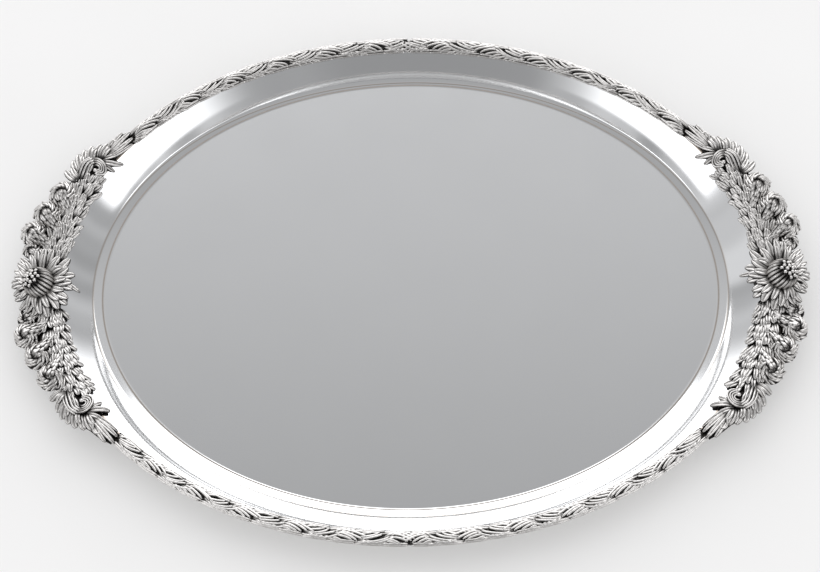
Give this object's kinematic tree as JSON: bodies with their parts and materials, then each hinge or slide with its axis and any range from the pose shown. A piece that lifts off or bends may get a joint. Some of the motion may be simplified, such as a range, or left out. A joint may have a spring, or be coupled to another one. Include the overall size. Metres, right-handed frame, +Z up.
{
  "type": "serving tray",
  "caption": "Large oval silver serving tray: flat well, steep flaring rim, cast leaf-garland border, and a cast flower with swirled blooms and acanthus scrolls at each end.",
  "frame": {"origin": "centre of the flat underside, on the surface the tray stands on", "axes": "+X along the tray's length to the right-hand flower, +Y to the back long side, +Z up out of the well"},
  "size_m": [0.749, 0.4924, 0.0496],
  "materials": {
    "bright_silver": "mirror-polished silver sheet with fine wear",
    "oxidised_silver": "cast silver, dark in the grooves and polished on the high points"
  },
  "bodies": {
    "root": {"bloom_left_back_1": "oxidised_silver", "bloom_left_back_2": "oxidised_silver", "bloom_left_back_3": "oxidised_silver", "bloom_left_back_4": "oxidised_silver", "bloom_left_front_1": "oxidised_silver", "bloom_left_front_2": "oxidised_silver", "bloom_left_front_3": "oxidised_silver", "bloom_left_front_4": "oxidised_silver", "bloom_right_back_1": "oxidised_silver", "bloom_right_back_2": "oxidised_silver", "bloom_right_back_3": "oxidised_silver", "bloom_right_back_4": "oxidised_silver", "bloom_right_front_1": "oxidised_silver", "bloom_right_front_2": "oxidised_silver", "bloom_right_front_3": "oxidised_silver", "bloom_right_front_4": "oxidised_silver", "border_back_left_1": "oxidised_silver", "border_back_left_2": "oxidised_silver", "border_back_left_3": "oxidised_silver", "border_back_right_1": "oxidised_silver", "border_back_right_2": "oxidised_silver", "border_back_right_3": "oxidised_silver", "border_front_left_1": "oxidised_silver", "border_front_left_2": "oxidised_silver", "border_front_left_3": "oxidised_silver", "border_front_right_1": "oxidised_silver", "border_front_right_2": "oxidised_silver", "border_front_right_3": "oxidised_silver", "flower_heart_left": "oxidised_silver", "flower_heart_right": "oxidised_silver", "flower_ruff_left": "oxidised_silver", "flower_ruff_right": "oxidised_silver", "garland_left_back": "oxidised_silver", "garland_left_front": "oxidised_silver", "garland_right_back": "oxidised_silver", "garland_right_front": "oxidised_silver", "scroll_left_back": "oxidised_silver", "scroll_left_front": "oxidised_silver", "scroll_right_back": "oxidised_silver", "scroll_right_front": "oxidised_silver", "tray_body": "bright_silver"}
  },
  "joints": []
}
